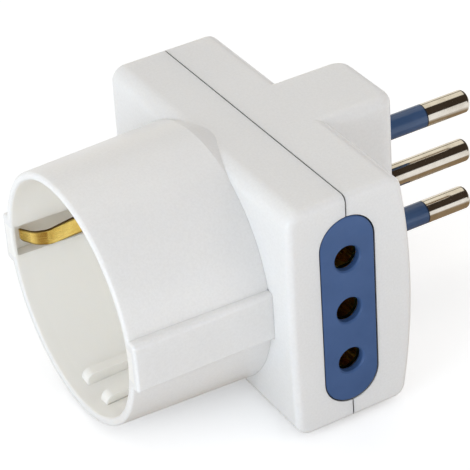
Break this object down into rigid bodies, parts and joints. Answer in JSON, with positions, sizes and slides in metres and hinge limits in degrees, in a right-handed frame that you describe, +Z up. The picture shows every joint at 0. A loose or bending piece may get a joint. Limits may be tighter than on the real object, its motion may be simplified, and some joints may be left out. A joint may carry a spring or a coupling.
{
  "type": "multi-socket adapter",
  "caption": "Multi-way mains adapter: a round recessed earth-clip socket in front, a blue three-hole socket on each end and a three-pin plug behind.",
  "frame": {"origin": "on the earth pin's axis, in the flat face of the plug block that seats against a wall socket", "axes": "+Y out of the plug along the pins, +Z up along the row of pins, +X towards the right-hand socket"},
  "size_m": [0.0554, 0.0754, 0.0434],
  "materials": {
    "white_plastic": "moulded white thermoplastic, satin gloss",
    "blue_plastic": "moulded slate-blue thermoplastic, satin",
    "nickel_plate": "nickel-plated turned brass, polished",
    "brass_strip": "bright rolled brass",
    "zinc_screw": "zinc-plated steel"
  },
  "bodies": {
    "root": {"front_shell": "white_plastic", "rear_shell": "white_plastic", "left_socket_insert": "blue_plastic", "right_socket_insert": "blue_plastic", "line_pin_sleeve": "blue_plastic", "neutral_pin_sleeve": "blue_plastic", "line_pin": "nickel_plate", "earth_pin": "nickel_plate", "neutral_pin": "nickel_plate", "line_bus": "brass_strip", "earth_bus": "brass_strip", "neutral_bus": "brass_strip", "earth_spacer": "brass_strip", "earth_strap": "brass_strip", "upper_screw": "zinc_screw", "lower_screw": "zinc_screw", "front_line_contact": "brass_strip", "front_neutral_contact": "brass_strip", "left_line_contact": "brass_strip", "left_earth_contact": "brass_strip", "left_neutral_contact": "brass_strip", "right_line_contact": "brass_strip", "right_earth_contact": "brass_strip", "right_neutral_contact": "brass_strip"}
  },
  "joints": []
}
